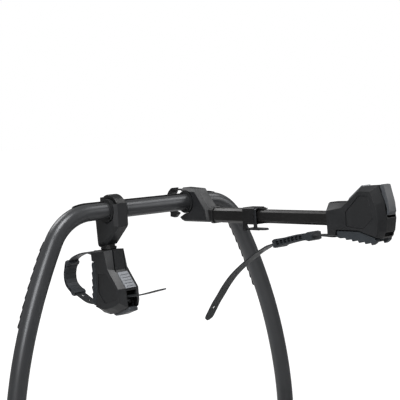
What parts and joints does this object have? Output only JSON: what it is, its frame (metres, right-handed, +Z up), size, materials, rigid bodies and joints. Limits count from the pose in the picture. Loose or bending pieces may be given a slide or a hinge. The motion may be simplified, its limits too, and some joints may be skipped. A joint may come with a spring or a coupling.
{
  "type": "tow bar bike carrier",
  "caption": "Folding bike carrier for a tow ball: bent hoop, two clamped frame holders with ratchet straps, tilting platform and folding wheel trays.",
  "frame": {"origin": "centre of the tow ball in its socket", "axes": "+Z up, +Y away from the car towards the bikes, +X along the crossbar"},
  "size_m": [1.312, 0.6675, 0.7651],
  "materials": {
    "hoop_paint": "satin",
    "black_plastic": "matte",
    "shell_plastic": "matte",
    "dark_rubber": "matte",
    "pad_rubber": "matte",
    "grey_plastic": "satin",
    "arm_aluminium": "satin",
    "light_metal": "satin",
    "steel": "brushed",
    "black_steel": "satin",
    "strap_plastic": "satin",
    "red_lens": "gloss"
  },
  "bodies": {
    "coupling": {"coupling_housing": "black_steel", "coupling_pins": "steel", "spine": "black_steel"},
    "jaw": {"coupling_jaw": "steel"},
    "coupling_handle": {"coupling_lever": "black_plastic"},
    "platform": {"centre_frame": "hoop_paint", "frame_pins": "steel", "hoop_brackets": "black_steel"},
    "pedal": {"foot_pedal": "black_plastic"},
    "hoop": {"hoop_tube": "hoop_paint", "crossbar_strip": "dark_rubber", "leg_bumpers": "dark_rubber", "hoop_feet": "black_plastic"},
    "wing_left": {"wing_left": "hoop_paint", "wheel_trays_left": "black_plastic", "wheel_straps_left": "strap_plastic", "lamp_housing_left": "black_plastic", "lamp_lens_left": "red_lens"},
    "wing_right": {"wing_right": "hoop_paint", "wheel_trays_right": "black_plastic", "wheel_straps_right": "strap_plastic", "lamp_housing_right": "black_plastic", "lamp_lens_right": "red_lens"},
    "long_liner": {"long_clamp_liner": "dark_rubber"},
    "long_jaw": {"long_clamp_jaw": "black_plastic"},
    "long_screw": {"long_clamp_screw": "black_steel"},
    "long_button": {"long_release_button": "grey_plastic"},
    "long_lever": {"long_ratchet_lever": "light_metal"},
    "long_drum": {"long_ratchet_drum": "steel"},
    "long_arm": {"long_clamp_body": "shell_plastic", "long_tube_collar": "black_plastic", "long_outer_tube": "arm_aluminium", "long_tube_clip": "black_plastic", "long_clip_bar": "light_metal"},
    "long_latch": {"long_length_latch": "black_plastic"},
    "long_head": {"long_inner_tube": "arm_aluminium", "long_head_shell_left": "shell_plastic", "long_head_shell_right": "shell_plastic", "long_side_panels": "shell_plastic", "long_side_frame": "steel", "long_grip_pad": "pad_rubber", "long_strap": "strap_plastic", "long_strap_sleeve": "dark_rubber"},
    "short_liner": {"short_clamp_liner": "dark_rubber"},
    "short_jaw": {"short_clamp_jaw": "black_plastic"},
    "short_screw": {"short_clamp_screw": "black_steel"},
    "short_button": {"short_release_button": "grey_plastic"},
    "short_lever": {"short_ratchet_lever": "light_metal"},
    "short_drum": {"short_ratchet_drum": "steel"},
    "short_arm": {"short_clamp_body": "shell_plastic", "short_tube_collar": "black_plastic", "short_neck_tube": "arm_aluminium", "short_head_shell_left": "shell_plastic", "short_head_shell_right": "shell_plastic", "short_side_panels": "shell_plastic", "short_side_frame": "steel", "short_grip_pad": "pad_rubber", "short_strap": "strap_plastic", "short_strap_sleeve": "dark_rubber"}
  },
  "joints": [
    {"name": "coupling_jaw_turn", "type": "hinge", "parent": "coupling", "child": "jaw", "pos_m": [0, -0.038, 0.013], "axis": [1, 0, 0], "range_deg": [-22, 0]},
    {"name": "coupling_lever_lift", "type": "hinge", "parent": "coupling", "child": "coupling_handle", "pos_m": [0, 0.042, 0.055], "axis": [1, 0, 0], "range_deg": [0, 75]},
    {"name": "platform_tilt", "type": "hinge", "parent": "coupling", "child": "platform", "pos_m": [0, 0.086, -0.002], "axis": [1, 0, 0], "range_deg": [-38, 0]},
    {"name": "pedal_press", "type": "hinge", "parent": "platform", "child": "pedal", "pos_m": [0, 0.47, -0.027], "axis": [1, 0, 0], "range_deg": [-18, 0], "stiffness_Nm_per_rad": 2, "springref_deg": 8.02},
    {"name": "hoop_fold", "type": "hinge", "parent": "platform", "child": "hoop", "pos_m": [0, 0.12905, 0.055], "axis": [1, 0, 0], "range_deg": [-86, 0]},
    {"name": "wing_fold_left", "type": "hinge", "parent": "platform", "child": "wing_left", "pos_m": [-0.416, 0.285, 0.022], "axis": [0, 1, 0], "range_deg": [0, 88]},
    {"name": "wing_fold_right", "type": "hinge", "parent": "platform", "child": "wing_right", "pos_m": [0.416, 0.285, 0.022], "axis": [0, 1, 0], "range_deg": [-88, 0]},
    {"name": "long_clamp_slide", "type": "slide", "parent": "hoop", "child": "long_liner", "axis": [1, 0, 0], "range_m": [-0.02, 0.045]},
    {"name": "long_arm_turn", "type": "hinge", "parent": "long_liner", "child": "long_arm", "pos_m": [-0.11, 0.0717, 0.655], "axis": [1, 0, 0], "range_deg": [-97, 70]},
    {"name": "long_jaw_slide", "type": "slide", "parent": "long_arm", "child": "long_jaw", "axis": [0, 0.9965, 0.0837], "range_m": [0, 0.038]},
    {"name": "long_screw_turn", "type": "hinge", "parent": "long_arm", "child": "long_screw", "pos_m": [-0.11, 0.10458, 0.65776], "axis": [0, -0.0837, 0.9965], "range_deg": [0, 360]},
    {"name": "long_arm_length", "type": "slide", "parent": "long_arm", "child": "long_head", "axis": [0, 0.9965, 0.0837], "range_m": [-0.06, 0]},
    {"name": "length_latch_press", "type": "hinge", "parent": "long_arm", "child": "long_latch", "pos_m": [-0.11, 0.24543, 0.61771], "axis": [1, 0, 0], "range_deg": [0, 5], "stiffness_Nm_per_rad": 0.5, "springref_deg": -4.01},
    {"name": "long_button_press", "type": "slide", "parent": "long_head", "child": "long_button", "axis": [0, 0.6718, -0.7407], "range_m": [0, 0.0022], "stiffness_N_per_m": 800, "springref_m": -0.001},
    {"name": "long_lever_pump", "type": "hinge", "parent": "long_head", "child": "long_lever", "pos_m": [-0.11, 0.55424, 0.71057], "axis": [1, 0, 0], "range_deg": [0, 55], "stiffness_Nm_per_rad": 0.4, "springref_deg": -9.74},
    {"name": "long_drum_turn", "type": "hinge", "parent": "long_head", "child": "long_drum", "pos_m": [-0.11, 0.55424, 0.71057], "axis": [1, 0, 0], "range_deg": [-180, 180]},
    {"name": "short_clamp_slide", "type": "slide", "parent": "hoop", "child": "short_liner", "axis": [1, 0, 0], "range_m": [-0.045, 0.02]},
    {"name": "short_arm_turn", "type": "hinge", "parent": "short_liner", "child": "short_arm", "pos_m": [0.0925, 0.0717, 0.655], "axis": [1, 0, 0], "range_deg": [-8, 100]},
    {"name": "short_jaw_slide", "type": "slide", "parent": "short_arm", "child": "short_jaw", "axis": [0, 0.1478, -0.989], "range_m": [-0.038, 0]},
    {"name": "short_screw_turn", "type": "hinge", "parent": "short_arm", "child": "short_screw", "pos_m": [0.0925, 0.07658, 0.62236], "axis": [0, 0.989, 0.1478], "range_deg": [-360, 0]},
    {"name": "short_button_press", "type": "slide", "parent": "short_arm", "child": "short_button", "axis": [0, -0.6958, -0.7182], "range_m": [0, 0.0022], "stiffness_N_per_m": 800, "springref_m": -0.001},
    {"name": "short_lever_pump", "type": "hinge", "parent": "short_arm", "child": "short_lever", "pos_m": [0.0925, 0.11262, 0.48266], "axis": [1, 0, 0], "range_deg": [0, 55], "stiffness_Nm_per_rad": 0.4, "springref_deg": -9.74},
    {"name": "short_drum_turn", "type": "hinge", "parent": "short_arm", "child": "short_drum", "pos_m": [0.0925, 0.11262, 0.48266], "axis": [1, 0, 0], "range_deg": [-180, 180]}
  ],
  "couplings": [
    {"joint": "long_screw_turn", "follows": "long_jaw_slide", "rad_per_m": 165.35},
    {"joint": "short_screw_turn", "follows": "short_jaw_slide", "rad_per_m": 165.35}
  ]
}
